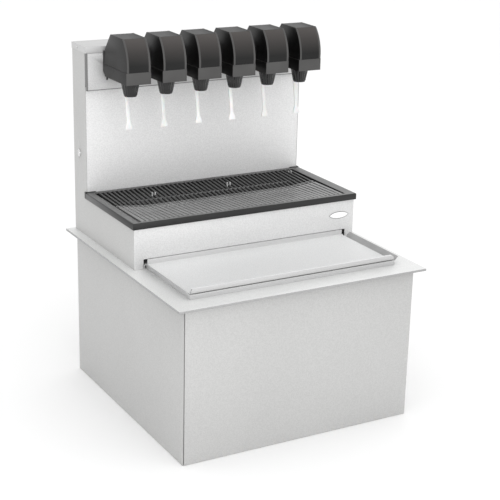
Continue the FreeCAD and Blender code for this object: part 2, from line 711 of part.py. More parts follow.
def lever(x):
    """A dispensing lever: an eye on the pin, a cranked arm and a flared foot."""
    eye = rod((x - 4.2, PIVOT_Y, PIVOT_Z), (1, 0, 0), 4.0, 8.4)
    arm = [(PIVOT_Y - 2.2, PIVOT_Z), (PIVOT_Y + 1.6, PIVOT_Z), (FRONT + 429.6, DECK + 333.0),
           (FRONT + 418.0, DECK + 262.0), (FRONT + 414.8, DECK + 262.0),
           (FRONT + 426.2, DECK + 334.0)]
    blade = prism_x(arm, x - 4.2, x + 4.2)
    foot_side = [(x - 4.2, DECK + 274.0), (x + 4.2, DECK + 274.0), (x + 8.2, DECK + 264.0),
                 (x + 8.2, DECK + 259.0), (x - 8.2, DECK + 259.0), (x - 8.2, DECK + 264.0)]
    foot_outline = [(FRONT + 412.6, DECK + 259.0), (FRONT + 417.8, DECK + 259.0),
                    (FRONT + 420.2, DECK + 274.5), (FRONT + 416.2, DECK + 274.5)]
    foot = prism_x(foot_outline, x - 9.0, x + 9.0)
    foot = foot.common(prism_y(foot_side, FRONT + 405.0, FRONT + 425.0))
    hole = rod((x - 6.0, PIVOT_Y, PIVOT_Z), (1, 0, 0), PIN_RADIUS + 0.05, 12.0)
    return join([eye, blade, foot]).cut(hole)


def lever_pin(x):
    """The pin that a lever turns on."""
    return rod((x - 11.0, PIVOT_Y, PIVOT_Z), (1, 0, 0), PIN_RADIUS, 22.0)


def build():
    """Write every node."""
    os.makedirs("parts", exist_ok=True)
    single = [shell_front, shell_wrap, bottom_pan, foam_insulation, bin_liner, cold_plate,
              deck_flange, counter_gasket, bin_collar, lid_rails, ice_bin_lid, box_front,
              tower_side_right, tower_side_left, splash_panel, valve_panel, tower_cap,
              rear_panel, cord_gland, drip_pan, drip_drain_tube, bin_drain_fitting, cup_rest,
              badge, lock_body, lock_cylinder, transformer, product_tubes, soda_manifold]
    for make in single:
        save(make.__name__, make())
    save("panel_screws", group(panel_screws()))

    positions = valve_positions()
    save("valve_mounts", group(valve_mount(x) for x in positions))
    save("solenoids", group(coil for x in positions for coil in solenoids(x)))
    save("flow_controls", group(part for x in positions for part in flow_controls(x)))
    save("microswitches", group(microswitch(x) for x in positions))
    save("diffusers", group(diffuser(x) for x in positions))
    save("lever_pins", group(lever_pin(x) for x in positions))
    for number, x in enumerate(positions, start=1):
        save("valve_body_%d" % number, valve_body(x))
        save("valve_cover_%d" % number, valve_cover(x))
        save("nozzle_%d" % number, nozzle(x))
        save("lever_%d" % number, lever(x))


build()
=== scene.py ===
import json
import math

import bmesh
import bpy
from mathutils import Matrix, Vector


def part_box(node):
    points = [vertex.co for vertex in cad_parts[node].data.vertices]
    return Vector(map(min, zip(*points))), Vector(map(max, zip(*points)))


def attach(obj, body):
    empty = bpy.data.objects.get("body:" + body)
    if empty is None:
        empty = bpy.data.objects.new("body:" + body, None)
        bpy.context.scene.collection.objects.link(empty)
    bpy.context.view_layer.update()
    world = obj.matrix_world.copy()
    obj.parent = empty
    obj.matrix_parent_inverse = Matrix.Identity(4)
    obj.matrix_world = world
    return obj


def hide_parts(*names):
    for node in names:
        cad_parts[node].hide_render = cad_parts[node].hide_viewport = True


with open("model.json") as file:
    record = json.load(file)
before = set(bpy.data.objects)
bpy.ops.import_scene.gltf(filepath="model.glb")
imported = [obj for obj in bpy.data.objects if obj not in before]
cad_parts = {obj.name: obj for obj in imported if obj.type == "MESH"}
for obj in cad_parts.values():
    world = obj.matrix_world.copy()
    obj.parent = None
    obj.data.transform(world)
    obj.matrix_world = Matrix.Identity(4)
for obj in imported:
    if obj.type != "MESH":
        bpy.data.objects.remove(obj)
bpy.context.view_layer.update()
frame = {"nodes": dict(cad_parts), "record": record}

# A drop-in fountain soda dispenser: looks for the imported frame. Metres, +Z up, +Y to the back.

MM = 0.001
VALVES = range(1, 7)
scene = bpy.context.scene

# Driving sizes of the detail that the frame doesn't hold
COVER_WALL = 2.2 * MM
COVER_RIB = 3.6 * MM
COVER_RECESS = 0.9 * MM
FACE_POINTS = 16
NOZZLE_RIBS = 20
FLUTE_DEPTH = 0.9 * MM
FIT_GAP = 0.3 * MM

# The cup rest's rim: its bars, the fall of their tops, its skirt, stops and ears
REST_SIDE_BAR = 20.0 * MM
REST_FRONT_BAR = 16.0 * MM
REST_BACK_BAR = 8.0 * MM
REST_DEPTH = 14.0 * MM
REST_ROUND = 1.2 * MM
REST_LAND = 4.5 * MM
REST_SLOPE = 2.2 * MM
REST_SKIRT = 3.5 * MM
TOP_STRIPS = (2, 3)
SPLASH_GAP = 0.6 * MM
EAR_HEIGHT = 1.5 * MM
EAR_DEPTH = 4.0 * MM
EAR_WIDTH = 24.0 * MM
EAR_ROOT = 2.0 * MM
STOP_WIDTH = 3.4 * MM

# Its slats, which are wide in front of the valley and narrow behind it
SLAT_COUNT = 45
SLAT_PITCH = 11.1 * MM
SLAT_DEPTH = 5.5 * MM
SLAT_EDGE = 0.6 * MM
SLAT_ROOT = 1.0 * MM
SURFACE_DROP = 1.6 * MM
FRONT_SLAT = 4.1 * MM
RIB_SLAT = 1.5 * MM
BACK_SLAT = 2.4 * MM
VALLEY_DEPTH = 137.7 * MM
VALLEY_DIP = 9.0 * MM
LEAST_DIP = 1.0 * MM
DIP_SLOPE = 0.11
RIB_HALF = 5.6 * MM
RIB_BAR = 2.0 * MM
BAR_ROOT = 2.0 * MM
UNDER_BARS = (0.2, 0.42, 0.7, 0.88)
TAB_PLACES = ((-136 * MM, 196 * MM), (55 * MM, 199 * MM), (236 * MM, 228 * MM))
TAB_SPREAD = 3.5 * MM
TAB_DROP = 9.0 * MM
TAB_RISE = 0.5 * MM

# Faces that take a second finish by the way they face: painted shade on the lid's front faces and
# the flange's left and front hems; the collar's left and front faces keep a lighter steel than its
# painted-dark rest
SIDE_COSINE = 0.8
LEFT = (-1.0, 0.0, 0.0)
FORWARD = (0.0, -1.0, 0.0)
UNDER_LEFT = (-0.7, 0.0, -0.7)
PAINTED_SHADE_FACES = {
    "ice_bin_lid": ("cap_steel", [FORWARD]),
    "bin_collar": ("cap_steel", [LEFT, FORWARD, UNDER_LEFT]),
    "deck_flange": ("hem_painted_shade", [LEFT, FORWARD])}
SHEET_PARTS = {
    "shell_front": "cabinet_steel", "shell_wrap": "cabinet_steel", "bottom_pan": "cabinet_steel",
    "tower_side_left": "cabinet_steel", "tower_side_right": "cabinet_steel",
    "rear_panel": "cabinet_steel", "box_front": "box_steel", "deck_flange": "deck_steel",
    "ice_bin_lid": "lid_steel", "bin_collar": "collar_painted_shade_steel", "splash_panel": "splash_steel",
    "valve_panel": "hood_steel", "tower_cap": "cap_steel"}
SMALL_PARTS = ("valve_mounts", "lock_body", "lock_cylinder", "panel_screws", "cord_gland")


# ---------------------------------------------------------------- materials

def new_material(name, base, roughness, metallic=0.0, **sockets):
    """A Principled material whose uniform values sit on the shader's own sockets."""
    material = bpy.data.materials.new(name)
    material.use_nodes = True
    shader = material.node_tree.nodes["Principled BSDF"]
    shader.inputs["Base Color"].default_value = (*base, 1.0)
    shader.inputs["Roughness"].default_value = roughness
    shader.inputs["Metallic"].default_value = metallic
    for socket, value in sockets.items():
        shader.inputs[socket.replace("_", " ")].default_value = value
    return material


def node(material, kind, **values):
    """Add a node and set its inputs by name."""
    made = material.node_tree.nodes.new(kind)
    for key, value in values.items():
        made.inputs[key.replace("_", " ")].default_value = value
    return made


def noise(material, scale, stretch=(1.0, 1.0, 1.0), detail=4.0):
    """A noise texture in object space, stretched along the axes."""
    links = material.node_tree.links
    coordinates = node(material, "ShaderNodeTexCoord")
    mapping = node(material, "ShaderNodeMapping", Scale=stretch)
    texture = node(material, "ShaderNodeTexNoise", Scale=scale, Detail=detail)
    links.new(coordinates.outputs["Object"], mapping.inputs["Vector"])
    links.new(mapping.outputs["Vector"], texture.inputs["Vector"])
    return texture.outputs["Fac"]


def ramp(material, source, low, high, start=0.0, end=1.0):
    """Map a factor to a range of grey or colour."""
    made = material.node_tree.nodes.new("ShaderNodeValToRGB")
    made.color_ramp.elements[0].position = start
    made.color_ramp.elements[1].position = end
    made.color_ramp.elements[0].color = (*low, 1.0)
    made.color_ramp.elements[1].color = (*high, 1.0)
    material.node_tree.links.new(source, made.inputs["Fac"])
    return made.outputs["Color"]


def drive_colour(material, source):
    shader = material.node_tree.nodes["Principled BSDF"]
    material.node_tree.links.new(source, shader.inputs["Base Color"])


def drive_roughness(material, source, low, high):
    """Spread a factor over a range of roughness."""
    spread = node(material, "ShaderNodeMapRange", To_Min=low, To_Max=high)
    shader = material.node_tree.nodes["Principled BSDF"]
    material.node_tree.links.new(source, spread.inputs["Value"])
    material.node_tree.links.new(spread.outputs["Result"], shader.inputs["Roughness"])


def drive_bump(material, source, distance, strength=0.5):
    bump = node(material, "ShaderNodeBump", Strength=strength, Distance=distance)
    shader = material.node_tree.nodes["Principled BSDF"]
    material.node_tree.links.new(source, bump.inputs["Height"])
    material.node_tree.links.new(bump.outputs["Normal"], shader.inputs["Normal"])


def multiply(material, first, second, factor=1.0):
    mix = material.node_tree.nodes.new("ShaderNodeMix")
    mix.data_type = "RGBA"
    mix.blend_type = "MULTIPLY"
    mix.inputs["Factor"].default_value = factor
    material.node_tree.links.new(first, mix.inputs["A"])
    material.node_tree.links.new(second, mix.inputs["B"])
    return mix.outputs["Result"]


def brushed_steel(name, base, roughness, grain, metallic=0.35):
    """Stainless sheet: fine grain along one axis, broad faint smudges and a satin gloss."""
    steel = new_material(name, base, roughness, metallic=metallic)
    lines = noise(steel, 60.0, stretch=grain, detail=6.0)
    smudges = noise(steel, 5.0, detail=3.0)
    dark = tuple(channel * 0.95 for channel in base)
    light = tuple(min(1.0, channel * 1.04) for channel in base)
    streaks = ramp(steel, lines, dark, light, 0.3, 0.7)
    cloud = ramp(steel, smudges, (0.97, 0.97, 0.97), (1.0, 1.0, 1.0), 0.35, 0.65)
    drive_colour(steel, multiply(steel, streaks, cloud))
    drive_roughness(steel, lines, roughness - 0.07, roughness + 0.1)
    drive_bump(steel, lines, 0.00006, 0.25)
    return steel


def blasted_steel(name, base, roughness, metallic=0.3):
    """Stainless sheet with a fine even speckle."""
    steel = new_material(name, base, roughness, metallic=metallic)
    speckle = noise(steel, 420.0, detail=3.0)
    smudges = noise(steel, 4.0, detail=2.0)
    dark = tuple(channel * 0.92 for channel in base)
    light = tuple(min(1.0, channel * 1.05) for channel in base)
    grain = ramp(steel, speckle, dark, light, 0.35, 0.65)
    cloud = ramp(steel, smudges, (0.97, 0.97, 0.97), (1.0, 1.0, 1.0), 0.35, 0.65)
    drive_colour(steel, multiply(steel, grain, cloud))
    drive_roughness(steel, speckle, roughness - 0.06, roughness + 0.08)
    drive_bump(steel, speckle, 0.00012, 0.35)
    return steel


def moulded_plastic(name, base, roughness, grain=900.0, depth=0.00008, **sockets):
    """Moulded plastic with a fine surface grain and a little wear in its gloss."""
    plastic = new_material(name, base, roughness, **sockets)
    fine = noise(plastic, grain, detail=2.0)
    broad = noise(plastic, 14.0, detail=3.0)
    dark = tuple(channel * 0.82 for channel in base)
    light = tuple(min(1.0, channel * 1.15) for channel in base)
    drive_colour(plastic, ramp(plastic, broad, dark, light, 0.3, 0.7))
    drive_roughness(plastic, broad, max(0.05, roughness - 0.06), roughness + 0.08)
    drive_bump(plastic, fine, depth, 0.4)
    return plastic


def cast_metal(name, base, roughness):
    """Cast metal: a lumpy skin with darker hollows."""
    metal = new_material(name, base, roughness, metallic=1.0)
    lumps = noise(metal, 180.0, detail=5.0)
    dark = tuple(channel * 0.7 for channel in base)
    drive_colour(metal, ramp(metal, lumps, dark, base, 0.35, 0.65))
    drive_roughness(metal, lumps, roughness, roughness + 0.2)
    drive_bump(metal, lumps, 0.0003, 0.5)
    return metal


def foam_material():
    """Poured foam: small cells over slow swells."""
    foam = new_material("foam", (0.80, 0.70, 0.44), 0.85)
    cells = node(foam, "ShaderNodeTexVoronoi", Scale=260.0)
    swells = noise(foam, 12.0)
    drive_colour(foam, ramp(foam, swells, (0.72, 0.60, 0.34), (0.84, 0.75, 0.5), 0.3, 0.7))
    drive_bump(foam, cells.outputs["Distance"], 0.0008, 0.6)
    return foam


def paint_cover_face_sheen(low, high):
    """The cover's curved face: a painted sheen, its colour fading from a warm grey brow to a dark
    foot.
    """
    face = new_material("cover_face", (0.04, 0.04, 0.04), 0.38, Specular_IOR_Level=0.3)
    links = face.node_tree.links
    place = face.node_tree.nodes.new("ShaderNodeTexCoord")
    split = face.node_tree.nodes.new("ShaderNodeSeparateXYZ")
    height = node(face, "ShaderNodeMapRange", From_Min=low, From_Max=high)
    links.new(place.outputs["Object"], split.inputs["Vector"])
    links.new(split.outputs["Z"], height.inputs["Value"])
    # Painted sheen: the colour is lighter towards the top of the cover and near black towards its
    # foot
    painted_sheen = ramp(face, height.outputs["Result"], (0.004, 0.004, 0.004), (0.064, 0.057, 0.054),
                0.2, 1.0)
    broad = ramp(face, noise(face, 14.0), (0.9, 0.9, 0.9), (1.0, 1.0, 1.0), 0.3, 0.7)
    drive_colour(face, multiply(face, painted_sheen, broad))
    drive_bump(face, noise(face, 900.0, detail=2.0), 0.00008, 0.4)
    return face


def shade_edge(material, axis, start, end, dark):
    """Paint shade into a material's colour along one edge, between two places on an axis."""
    links = material.node_tree.links
    shader = material.node_tree.nodes["Principled BSDF"]
    colour = shader.inputs["Base Color"].links[0].from_socket
    place = material.node_tree.nodes.new("ShaderNodeTexCoord")
    split = material.node_tree.nodes.new("ShaderNodeSeparateXYZ")
    share = node(material, "ShaderNodeMapRange", From_Min=start, From_Max=end)
    links.new(place.outputs["Object"], split.inputs["Vector"])
    links.new(split.outputs[axis], share.inputs["Value"])
    painted_edge_shade = ramp(material, share.outputs["Result"], (dark, dark, dark), (1.0, 1.0, 1.0), 0.6, 1.0)
    drive_colour(material, multiply(material, colour, painted_edge_shade))


def materials():
    """Every slot's finish by the record's slot names, and the darker and lighter copies that paint
    shade and light on special faces.
    """
    upright = (1.0, 1.0, 0.02)
    across = (0.02, 1.0, 1.0)
    moulded = moulded_plastic
    cover_low, cover_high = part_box("valve_cover_1")
    made = {
        "cabinet_steel": blasted_steel("cabinet_steel", (0.52, 0.52, 0.515), 0.5),
        "deck_steel": blasted_steel("deck_steel", (0.80, 0.805, 0.80), 0.48),
        # A dark copy of the deck steel for the flange's left and front hems: painted shade
        "hem_painted_shade": blasted_steel("hem_painted_shade", (0.38, 0.38, 0.38), 0.5),
        "hood_steel": blasted_steel("hood_steel", (0.60, 0.60, 0.60), 0.5),
        "cap_steel": brushed_steel("cap_steel", (0.56, 0.56, 0.56), 0.46, across),
        "box_steel": blasted_steel("box_steel", (0.68, 0.68, 0.68), 0.5),
        # The splash steel is made lighter than the other sheets: painted light against the shade
        # under the valves
        "splash_steel": blasted_steel("splash_steel", (0.79, 0.79, 0.79), 0.6, 0.12),
        "lid_steel": blasted_steel("lid_steel", (0.78, 0.785, 0.785), 0.48),
        # The collar's steel is darker than the other sheets: painted shade and painted dark
        # reflection on the inner face of its flare
        "collar_painted_shade_steel": brushed_steel("collar_painted_shade_steel", (0.42, 0.42, 0.42), 0.42, across),
        "liner_steel": brushed_steel("liner_steel", (0.60, 0.60, 0.60), 0.36, upright, 0.8),
        "cover_plastic": moulded("cover_plastic", (0.0035, 0.0033, 0.0033), 0.36,
                                 Specular_IOR_Level=0.31),
        # A lighter grey for the cover's top face: painted light
        "cover_roof": moulded("cover_roof", (0.02, 0.02, 0.02), 0.45, Specular_IOR_Level=0.2),
        "cover_face": paint_cover_face_sheen(cover_low.z, cover_high.z),
        "valve_plastic": moulded("valve_plastic", (0.055, 0.054, 0.053), 0.5),
        "nozzle_plastic": moulded("nozzle_plastic", (0.004, 0.004, 0.004), 0.14,
                                  Specular_IOR_Level=0.5),
        "lever_plastic": moulded("lever_plastic", (0.82, 0.83, 0.82), 0.28,
                                 Subsurface_Weight=0.2, Subsurface_Scale=0.003),
        "grille_plastic": moulded("grille_plastic", (0.012, 0.012, 0.012), 0.3,
                                  Specular_IOR_Level=0.42),
        "slat_plastic": moulded("slat_plastic", (0.22, 0.22, 0.22), 0.34),
        # A lighter copy of the grille plastic for the rim's top: painted light
        "rim_top_painted_light": moulded("rim_top_painted_light", (0.13, 0.13, 0.13), 0.34),
        # A darker copy of the slat plastic behind the valley: painted shade in the deep open slots
        "rear_slat_painted_shade": moulded("rear_slat_painted_shade", (0.045, 0.045, 0.045), 0.4),
        "tab_plastic": moulded("tab_plastic", (0.55, 0.55, 0.55), 0.4),
        "badge_plate": moulded("badge_plate", (0.88, 0.88, 0.88), 0.25),
        "badge_rim": moulded("badge_rim", (0.16, 0.16, 0.16), 0.3),
        "inner_plastic": moulded("inner_plastic", (0.05, 0.05, 0.055), 0.5),
        "gasket_rubber": moulded("gasket_rubber", (0.02, 0.02, 0.02), 0.8, 500.0),
        "transformer_paint": moulded("transformer_paint", (0.02, 0.022, 0.027), 0.4),
        "hardware": brushed_steel("hardware", (0.72, 0.72, 0.72), 0.22, upright, 0.9),
        "cast_aluminium": cast_metal("cast_aluminium", (0.62, 0.63, 0.64), 0.4),
        "foam": foam_material(),
    }
    # Painted shade along the hood's bottom and left edges, where its hem turns under
    hood_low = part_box("valve_panel")[0]
    shade_edge(made["hood_steel"], "Z", hood_low.z, hood_low.z + 2.2 * MM, 0.3)
    shade_edge(made["hood_steel"], "X", hood_low.x, hood_low.x + 2.2 * MM, 0.3)
    return made


FINISH = materials()
SLOT_OF = {entry["node"]: entry["material_slot"] for entry in frame["record"]["subparts"]}
BODY_OF = {name: body for body, names in frame["record"]["behaviour"]["bodies"].items()
           for name in names}


def paint_frame():
    """Give every CAD node the procedural finish of its slot."""
    for name, carried in frame["nodes"].items():
        carried.data.materials.clear()
        carried.data.materials.append(FINISH[SLOT_OF[name]])


# ---------------------------------------------------------------- mesh helpers

def to_object(name, mesh_data):
    """Turn a bmesh into a linked object."""
    mesh = bpy.data.meshes.new(name)
    bmesh.ops.recalc_face_normals(mesh_data, faces=mesh_data.faces)
    mesh_data.to_mesh(mesh)
    mesh_data.free()
    made = bpy.data.objects.new(name, mesh)
    scene.collection.objects.link(made)
    return made


def bevel(made, width, segments=2, angle=35.0):
    modifier = made.modifiers.new("edge", "BEVEL")
    modifier.width = width
    modifier.segments = segments
    modifier.limit_method = "ANGLE"
    modifier.angle_limit = math.radians(angle)
    modifier.harden_normals = False


def bake_down(made, smooth_angle=32.0):
    """Apply the modifiers and smooth the faces that meet at a small angle."""
    graph = bpy.context.evaluated_depsgraph_get()
    mesh = bpy.data.meshes.new_from_object(made.evaluated_get(graph))
    old = made.data
    made.modifiers.clear()
    made.data = mesh
    bpy.data.meshes.remove(old)
    mesh.shade_smooth()
    mesh.set_sharp_from_angle(angle=math.radians(smooth_angle))
    return made


def settle(made, nodes, slot, finish=None):
    """The piece stands for CAD nodes: it rides on their body and takes their slot."""
    names = [nodes] if isinstance(nodes, str) else list(nodes)
    if not made.data.materials:
        made.data.materials.append(FINISH[finish or slot])
    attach(made, BODY_OF[names[0]])
    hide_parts(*names)
    return made


def refine(name, width, segments=2, finish=None, sides=None):
    """A copy of a CAD node's shape with its edges rounded, to stand for the node.

    sides gives a second finish, and the directions of the faces that take it; it paints shade and
    light by the way a face points.
    """
    source = frame["nodes"][name]
    work = bmesh.new()
    work.from_mesh(source.data)
    bmesh.ops.remove_doubles(work, verts=work.verts, dist=1e-6)
    bmesh.ops.dissolve_limit(work, angle_limit=math.radians(0.5), verts=work.verts,
                             edges=work.edges)
    made = to_object(name + "_finished", work)
    made.data.materials.clear()
    bevel(made, width, segments)
    bake_down(made)
    made.data.materials.append(FINISH[finish or SLOT_OF[name]])
    if sides:
        second, directions = sides
        made.data.materials.append(FINISH[second])
        for face in made.data.polygons:
            if any(face.normal.dot(Vector(way)) > SIDE_COSINE for way in directions):
                face.material_index = 1
    return settle(made, name, SLOT_OF[name])


def add_box(work, low, high, finish=0):
    """Add a box between two corners to a bmesh, with one of its object's finishes."""
    size = Vector(high) - Vector(low)
    centre = (Vector(high) + Vector(low)) / 2
    place = Matrix.Translation(centre) @ Matrix.Diagonal((*size, 1.0))
    corners = bmesh.ops.create_cube(work, size=1.0, matrix=place)["verts"]
    for corner in corners:
        for face in corner.link_faces:
            face.material_index = finish


def add_loft(work, loops, closed_ends=True):
    """Skin a row of equal loops of points, and cap both ends."""
    rings = [[work.verts.new(point) for point in loop] for loop in loops]
    count = len(rings[0])
    for first, second in zip(rings, rings[1:]):
        for index in range(count):
            following = (index + 1) % count
            work.faces.new((first[index], first[following], second[following], second[index]))
    if closed_ends:
        work.faces.new(list(reversed(rings[0])))
        work.faces.new(rings[-1])
    return rings


def arc_points(start, middle, end, count):
    """Points of the circle through three points of a plane, from start to end."""
    (ax, ay), (bx, by), (cx, cy) = start, middle, end
    d = 2 * (ax * (by - cy) + bx * (cy - ay) + cx * (ay - by))
    a2, b2, c2 = ax * ax + ay * ay, bx * bx + by * by, cx * cx + cy * cy
    ux = (a2 * (by - cy) + b2 * (cy - ay) + c2 * (ay - by)) / d
    uy = (a2 * (cx - bx) + b2 * (ax - cx) + c2 * (bx - ax)) / d
    radius = math.hypot(ax - ux, ay - uy)
    first = math.atan2(ay - uy, ax - ux)
    last = math.atan2(cy - uy, cx - ux)
    middle_angle = math.atan2(by - uy, bx - ux)

    def unwrap(angle):
        return first + (angle - first + math.pi) % (2 * math.pi) - math.pi

    last = unwrap(last)
    if (unwrap(middle_angle) - first) * (last - first) < 0:
        last -= math.copysign(2 * math.pi, last - first)
    steps = [first + (last - first) * index / (count - 1) for index in range(count)]
    return [(ux + radius * math.cos(angle), uy + radius * math.sin(angle)) for angle in steps]


# ---------------------------------------------------------------- valves

def cover_outline(low, high, inset):
    """The side outline of a cover, from its front foot over the top to its back foot."""
    front = low.y
    back = high.y
    depth = back - front
    height = high.z - low.z
    foot = (front + inset, low.z)
    belly = (front + 0.046 * depth + inset, low.z + 0.577 * height)
    brow = (front + 0.209 * depth + 0.6 * inset, high.z - 0.6 * MM - inset)
    roof = [(front + 0.745 * depth, high.z - 0.2 * inset), (back, low.z + 0.489 * height),
            (back, low.z)]
    return arc_points(foot, belly, brow, FACE_POINTS) + roof


def make_cover(number):
    """A hollow cover: two raised ribs beside a recessed, curved front."""
    name = "valve_cover_%d" % number
    low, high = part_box(name)
    step = COVER_RIB + COVER_RECESS
    stations = [(low.x, 0.0), (low.x + COVER_RIB, 0.0), (low.x + step, COVER_RECESS),
                (high.x - step, COVER_RECESS), (high.x - COVER_RIB, 0.0), (high.x, 0.0)]
    work = bmesh.new()
    loops = [[(x, y, z) for y, z in cover_outline(low, high, inset)] for x, inset in stations]
    add_loft(work, loops)
    work.faces.ensure_lookup_table()
    around = len(loops[0])
    # The recess takes the painted-sheen face, the rib fronts the lighter valve plastic and the top
    # face a lighter grey: painted light on the faces that meet the lamps; the sides keep the
    # darkest plastic
    for strip in range(len(stations) - 1):
        for segment in range(FACE_POINTS - 1):
            work.faces[strip * around + segment].material_index = 1 if strip == 2 else 2
        work.faces[strip * around + FACE_POINTS - 1].material_index = 3
    base = [face for face in work.faces if all(abs(v.co.z - low.z) < 1e-6 for v in face.verts)]
    bmesh.ops.delete(work, geom=base, context="FACES")
    made = to_object(name + "_shell", work)
    for finish in ("cover_plastic", "cover_face", "valve_plastic", "cover_roof"):
        made.data.materials.append(FINISH[finish])
    bevel(made, 1.3 * MM, 3, 42.0)
    shell = made.modifiers.new("wall", "SOLIDIFY")
    shell.thickness = COVER_WALL
    shell.offset = -1.0
    bake_down(made, 38.0)
    return settle(made, name, "cover_plastic")


def circle(centre, radius, z, steps):
    """Points of a level circle."""
    turns = [2 * math.pi * step / steps for step in range(steps)]
    return [(centre.x + radius * math.cos(turn), centre.y + radius * math.sin(turn), z)
            for turn in turns]


def close_ring(work, rings):
    """Join the last loop of a loft to its first, so that it has a hole through it."""
    count = len(rings[0])
    for index in range(count):
        following = (index + 1) % count
        work.faces.new((rings[-1][index], rings[-1][following], rings[0][following],
                        rings[0][index]))


def make_nozzle(number):
    """A fluted funnel under a plain collar, open through its middle."""
    name = "nozzle_%d" % number
    low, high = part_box(name)
    centre = (low + high) / 2
    full = (high.x - low.x) / 2
    height = high.z - low.z
    rows = [(0.0, 0.64, 0.0), (0.02, 0.66, 0.0), (0.06, 0.665, 0.0), (0.08, 0.66, 1.0),
            (0.4, 0.79, 1.0), (0.66, 0.905, 1.0), (0.68, 0.955, 0.0), (0.76, 0.975, 0.0),
            (0.78, 1.0, 0.0), (0.99, 1.0, 0.0), (1.0, 0.985, 0.0)]
    bore = [(1.0, 0.87), (0.78, 0.87), (0.4, 0.68), (0.0, 0.55)]
    steps = NOZZLE_RIBS * 6
    loops = []
    for share, radius, fluted in rows:
        loop = []
        for step in range(steps):
            turn = 2 * math.pi * step / steps
            wave = 0.5 - 0.5 * math.cos(turn * NOZZLE_RIBS)
            reach = full * radius + fluted * wave ** 2 * FLUTE_DEPTH
            loop.append((centre.x + reach * math.cos(turn), centre.y + reach * math.sin(turn),
                         low.z + share * height))
        loops.append(loop)
    loops += [circle(centre, full * radius, low.z + share * height, steps)
              for share, radius in bore]
    work = bmesh.new()
    close_ring(work, add_loft(work, loops, closed_ends=False))
    made = bake_down(to_object(name + "_fluted", work))
    return settle(made, name, "nozzle_plastic")


def make_lever(number):
    """A moulded lever: an eye round its pin, a cranked arm and a spoon-shaped foot."""
    name = "lever_%d" % number
    low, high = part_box(name)
    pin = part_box("lever_pins")
    middle = (low.x + high.x) / 2
    eye = Vector((middle, (pin[0].y + pin[1].y) / 2, (pin[0].z + pin[1].z) / 2))
    drop = eye.z - low.z
    foot_y = low.y + 2.4 * MM
    bend_y = eye.y - 4.1 * MM
    bend_z = eye.z - 0.34 * drop
    wide = high.x - middle
    path = [(eye.y - 0.3 * MM, eye.z - 2.0 * MM, 4.0 * MM, 1.9),
            (eye.y - 0.9 * MM, eye.z - 12 * MM, 4.0 * MM, 1.8),
            (bend_y + 0.6 * MM, bend_z + 8 * MM, 4.0 * MM, 1.7),
            (bend_y - 0.4 * MM, bend_z - 4 * MM, 4.0 * MM, 1.7),
            (foot_y + 6.6 * MM, low.z + 0.38 * drop, 3.9 * MM, 1.6),
            (foot_y + 3.2 * MM, low.z + 0.19 * drop, 3.8 * MM, 1.6),
            (foot_y + 2.0 * MM, low.z + 0.13 * drop, 4.2 * MM, 1.7),
            (foot_y + 1.2 * MM, low.z + 0.08 * drop, 0.82 * wide, 1.9),
            (foot_y + 0.5 * MM, low.z + 0.04 * drop, wide, 2.2),
            (foot_y + 0.3 * MM, low.z + 0.002 * drop, 0.97 * wide, 2.0)]
    loops = []
    for y, z, half_width, half_depth in path:
        loop = []
        for step in range(16):
            turn = 2 * math.pi * step / 16
            across = math.copysign(abs(math.cos(turn)) ** 0.55, math.cos(turn))
            along = math.copysign(abs(math.sin(turn)) ** 0.55, math.sin(turn))
            loop.append((middle + across * half_width, y + along * half_depth * MM, z))
        loops.append(loop)
    work = bmesh.new()
    add_loft(work, loops)
    ring = []
    for side, radius in ((-4.1, 1.6), (-4.1, 3.5), (-3.7, 3.9), (3.7, 3.9), (4.1, 3.5), (4.1, 1.6)):
        turns = [2 * math.pi * step / 24 for step in range(24)]
        ring.append([(eye.x + side * MM, eye.y + radius * MM * math.cos(turn),
                      eye.z + radius * MM * math.sin(turn)) for turn in turns])
    close_ring(work, add_loft(work, ring, closed_ends=False))
    made = bake_down(to_object(name + "_moulded", work), 50.0)
    return settle(made, name, "lever_plastic")


# ---------------------------------------------------------------- cup rest

def slat_places():
    """Where the slats lie across the cup rest."""
    return [(number - (SLAT_COUNT - 1) / 2) * SLAT_PITCH for number in range(SLAT_COUNT)]


def slat_dip(inner, x):
    """How far a slat sinks at the valley: less beside the side bars."""
    return min(VALLEY_DIP, DIP_SLOPE * (inner - abs(x)) + LEAST_DIP)


def slat_loops(x, front, valley, back, surface, dip):
    """One slat's loops, from front to back: wide in front, narrow past the valley."""
    stations = [(front, 0.0, FRONT_SLAT), ((front + valley) / 2, 0.5, FRONT_SLAT),
                (valley - RIB_HALF - 0.6 * MM, 0.96, FRONT_SLAT),
                (valley - RIB_HALF, 0.97, RIB_SLAT), (valley, 1.0, RIB_SLAT),
                (valley + RIB_HALF + 0.4 * MM, 0.97, BACK_SLAT),
                ((valley + back) / 2, 0.5, BACK_SLAT), (back, 0.0, BACK_SLAT)]
    loops = []
    for y, share, wide in stations:
        top = surface - dip * share
        under = top - SLAT_DEPTH
        flat = wide - SLAT_EDGE
        shoulder = top - SLAT_EDGE
        loops.append([(x - flat, y, under), (x + flat, y, under), (x + wide, y, shoulder),
                      (x + flat, y, top), (x - flat, y, top), (x - wide, y, shoulder)])
    return loops


